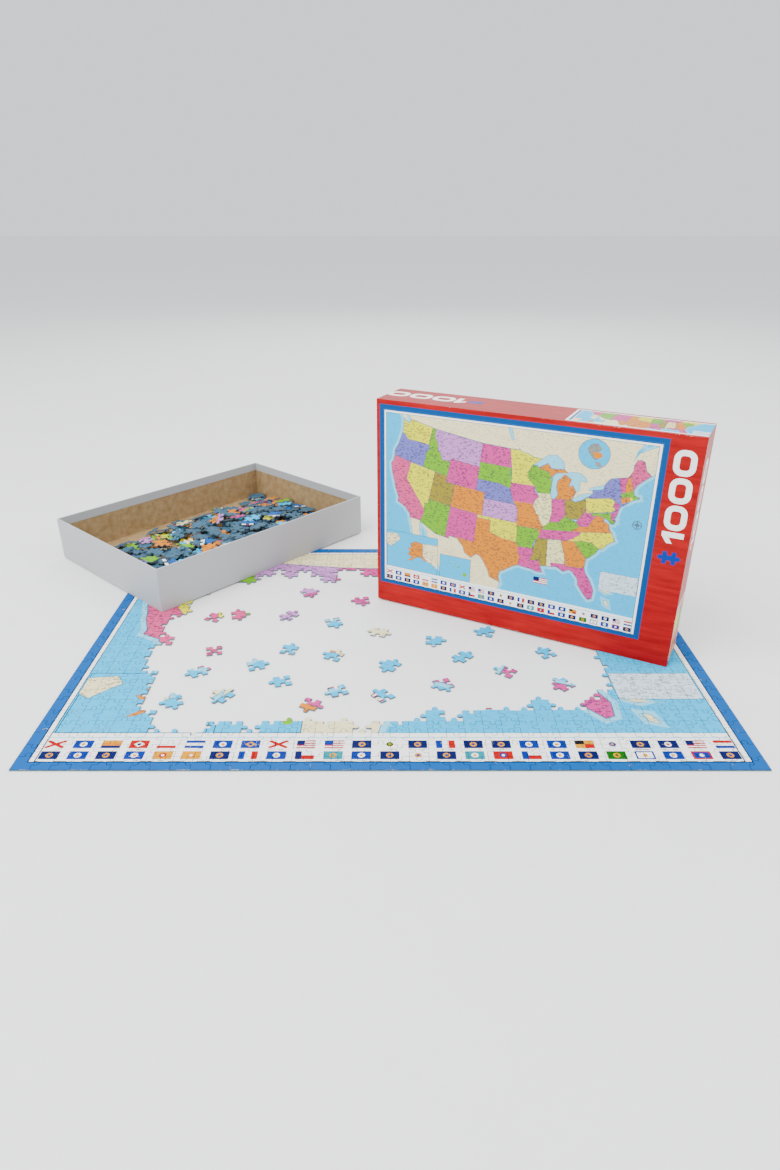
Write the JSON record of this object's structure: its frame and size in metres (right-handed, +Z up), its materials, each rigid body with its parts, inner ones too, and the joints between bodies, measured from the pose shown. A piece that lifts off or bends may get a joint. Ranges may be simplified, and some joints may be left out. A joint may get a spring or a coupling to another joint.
{
  "type": "boxed jigsaw puzzle",
  "caption": "Flat die-cut jigsaw with its frame joined up, loose pieces in the open middle, a board tray heaped with the rest, and the box lid standing on edge",
  "frame": {"origin": "middle of the overall footprint, on the table that everything stands on", "axes": "+X along the puzzle's long side to the right of its reader, +Y away from the reader, +Z up"},
  "size_m": [0.8048, 0.722, 0.256],
  "materials": {
    "piece_board": "printed paper face in pale map colours, slate blue back, die-cut edges",
    "box_board": "uncoated brown grey board",
    "lid_wrap_paper": "satin printed paper, red with a pale map picture",
    "tray_wrap_paper": "matt light grey paper",
    "stay_paper": "brown gummed paper tape"
  },
  "bodies": {
    "joined_puzzle": {"corner_pieces": "piece_board", "far_edge_pieces": "piece_board", "far_left_pieces": "piece_board", "far_right_pieces": "piece_board", "flag_strip_left_pieces": "piece_board", "flag_strip_right_pieces": "piece_board", "left_edge_pieces": "piece_board", "left_inner_pieces": "piece_board", "near_edge_pieces": "piece_board", "near_inner_pieces": "piece_board", "near_right_pieces": "piece_board", "right_edge_pieces": "piece_board", "right_inner_pieces": "piece_board", "under_lid_pieces": "piece_board"},
    "tray": {"tray_base_board": "box_board", "tray_corner_stays": "stay_paper", "tray_long_wall_boards": "box_board", "tray_paper_wrap": "tray_wrap_paper", "tray_short_wall_boards": "box_board", "heap_layer_1": "piece_board", "heap_layer_2": "piece_board", "heap_layer_3": "piece_board", "heap_layer_4": "piece_board", "heap_layer_5": "piece_board", "heap_layer_6": "piece_board"},
    "lid": {"lid_base_board": "box_board", "lid_corner_stays": "stay_paper", "lid_long_wall_boards": "box_board", "lid_paper_wrap": "lid_wrap_paper", "lid_short_wall_boards": "box_board"},
    "loose_piece_c04_r15_body": {"loose_piece_c04_r15": "piece_board"},
    "loose_piece_c05_r14_body": {"loose_piece_c05_r14": "piece_board"},
    "loose_piece_c06_r03_body": {"loose_piece_c06_r03": "piece_board"},
    "loose_piece_c06_r12_body": {"loose_piece_c06_r12": "piece_board"},
    "loose_piece_c07_r04_body": {"loose_piece_c07_r04": "piece_board"},
    "loose_piece_c08_r03_body": {"loose_piece_c08_r03": "piece_board"},
    "loose_piece_c08_r05_body": {"loose_piece_c08_r05": "piece_board"},
    "loose_piece_c09_r04_body": {"loose_piece_c09_r04": "piece_board"},
    "loose_piece_c10_r07_body": {"loose_piece_c10_r07": "piece_board"},
    "loose_piece_c12_r21_body": {"loose_piece_c12_r21": "piece_board"},
    "loose_piece_c12_r22_body": {"loose_piece_c12_r22": "piece_board"},
    "loose_piece_c13_r09_body": {"loose_piece_c13_r09": "piece_board"},
    "loose_piece_c13_r20_body": {"loose_piece_c13_r20": "piece_board"},
    "loose_piece_c16_r19_body": {"loose_piece_c16_r19": "piece_board"},
    "loose_piece_c18_r06_body": {"loose_piece_c18_r06": "piece_board"},
    "loose_piece_c19_r05_body": {"loose_piece_c19_r05": "piece_board"},
    "loose_piece_c20_r04_body": {"loose_piece_c20_r04": "piece_board"},
    "loose_piece_c22_r06_body": {"loose_piece_c22_r06": "piece_board"},
    "loose_piece_c24_r06_body": {"loose_piece_c24_r06": "piece_board"},
    "loose_piece_c25_r05_body": {"loose_piece_c25_r05": "piece_board"},
    "loose_piece_c26_r06_body": {"loose_piece_c26_r06": "piece_board"},
    "loose_piece_c27_r06_body": {"loose_piece_c27_r06": "piece_board"},
    "loose_piece_c28_r05_body": {"loose_piece_c28_r05": "piece_board"},
    "loose_piece_c28_r09_body": {"loose_piece_c28_r09": "piece_board"},
    "loose_piece_c29_r08_body": {"loose_piece_c29_r08": "piece_board"},
    "loose_piece_c30_r07_body": {"loose_piece_c30_r07": "piece_board"}
  },
  "joints": [
    {"name": "tray_lift", "type": "slide", "parent": "joined_puzzle", "child": "tray", "axis": [0, 0, 1], "range_m": [0, 0.1]},
    {"name": "lid_lift", "type": "slide", "parent": "joined_puzzle", "child": "lid", "axis": [0, 0, 1], "range_m": [0, 0.12]},
    {"name": "lift_c04_r15", "type": "slide", "parent": "joined_puzzle", "child": "loose_piece_c04_r15_body", "axis": [0, 0, 1], "range_m": [0, 0.05]},
    {"name": "lift_c05_r14", "type": "slide", "parent": "joined_puzzle", "child": "loose_piece_c05_r14_body", "axis": [0, 0, 1], "range_m": [0, 0.05]},
    {"name": "lift_c06_r03", "type": "slide", "parent": "joined_puzzle", "child": "loose_piece_c06_r03_body", "axis": [0, 0, 1], "range_m": [0, 0.05]},
    {"name": "lift_c06_r12", "type": "slide", "parent": "joined_puzzle", "child": "loose_piece_c06_r12_body", "axis": [0, 0, 1], "range_m": [0, 0.05]},
    {"name": "lift_c07_r04", "type": "slide", "parent": "joined_puzzle", "child": "loose_piece_c07_r04_body", "axis": [0, 0, 1], "range_m": [0, 0.05]},
    {"name": "lift_c08_r03", "type": "slide", "parent": "joined_puzzle", "child": "loose_piece_c08_r03_body", "axis": [0, 0, 1], "range_m": [0, 0.05]},
    {"name": "lift_c08_r05", "type": "slide", "parent": "joined_puzzle", "child": "loose_piece_c08_r05_body", "axis": [0, 0, 1], "range_m": [0, 0.05]},
    {"name": "lift_c09_r04", "type": "slide", "parent": "joined_puzzle", "child": "loose_piece_c09_r04_body", "axis": [0, 0, 1], "range_m": [0, 0.05]},
    {"name": "lift_c10_r07", "type": "slide", "parent": "joined_puzzle", "child": "loose_piece_c10_r07_body", "axis": [0, 0, 1], "range_m": [0, 0.05]},
    {"name": "lift_c12_r21", "type": "slide", "parent": "joined_puzzle", "child": "loose_piece_c12_r21_body", "axis": [0, 0, 1], "range_m": [0, 0.05]},
    {"name": "lift_c12_r22", "type": "slide", "parent": "joined_puzzle", "child": "loose_piece_c12_r22_body", "axis": [0, 0, 1], "range_m": [0, 0.05]},
    {"name": "lift_c13_r09", "type": "slide", "parent": "joined_puzzle", "child": "loose_piece_c13_r09_body", "axis": [0, 0, 1], "range_m": [0, 0.05]},
    {"name": "lift_c13_r20", "type": "slide", "parent": "joined_puzzle", "child": "loose_piece_c13_r20_body", "axis": [0, 0, 1], "range_m": [0, 0.05]},
    {"name": "lift_c16_r19", "type": "slide", "parent": "joined_puzzle", "child": "loose_piece_c16_r19_body", "axis": [0, 0, 1], "range_m": [0, 0.05]},
    {"name": "lift_c18_r06", "type": "slide", "parent": "joined_puzzle", "child": "loose_piece_c18_r06_body", "axis": [0, 0, 1], "range_m": [0, 0.05]},
    {"name": "lift_c19_r05", "type": "slide", "parent": "joined_puzzle", "child": "loose_piece_c19_r05_body", "axis": [0, 0, 1], "range_m": [0, 0.05]},
    {"name": "lift_c20_r04", "type": "slide", "parent": "joined_puzzle", "child": "loose_piece_c20_r04_body", "axis": [0, 0, 1], "range_m": [0, 0.05]},
    {"name": "lift_c22_r06", "type": "slide", "parent": "joined_puzzle", "child": "loose_piece_c22_r06_body", "axis": [0, 0, 1], "range_m": [0, 0.05]},
    {"name": "lift_c24_r06", "type": "slide", "parent": "joined_puzzle", "child": "loose_piece_c24_r06_body", "axis": [0, 0, 1], "range_m": [0, 0.05]},
    {"name": "lift_c25_r05", "type": "slide", "parent": "joined_puzzle", "child": "loose_piece_c25_r05_body", "axis": [0, 0, 1], "range_m": [0, 0.05]},
    {"name": "lift_c26_r06", "type": "slide", "parent": "joined_puzzle", "child": "loose_piece_c26_r06_body", "axis": [0, 0, 1], "range_m": [0, 0.05]},
    {"name": "lift_c27_r06", "type": "slide", "parent": "joined_puzzle", "child": "loose_piece_c27_r06_body", "axis": [0, 0, 1], "range_m": [0, 0.05]},
    {"name": "lift_c28_r05", "type": "slide", "parent": "joined_puzzle", "child": "loose_piece_c28_r05_body", "axis": [0, 0, 1], "range_m": [0, 0.05]},
    {"name": "lift_c28_r09", "type": "slide", "parent": "joined_puzzle", "child": "loose_piece_c28_r09_body", "axis": [0, 0, 1], "range_m": [0, 0.05]},
    {"name": "lift_c29_r08", "type": "slide", "parent": "joined_puzzle", "child": "loose_piece_c29_r08_body", "axis": [0, 0, 1], "range_m": [0, 0.05]},
    {"name": "lift_c30_r07", "type": "slide", "parent": "joined_puzzle", "child": "loose_piece_c30_r07_body", "axis": [0, 0, 1], "range_m": [0, 0.05]}
  ]
}
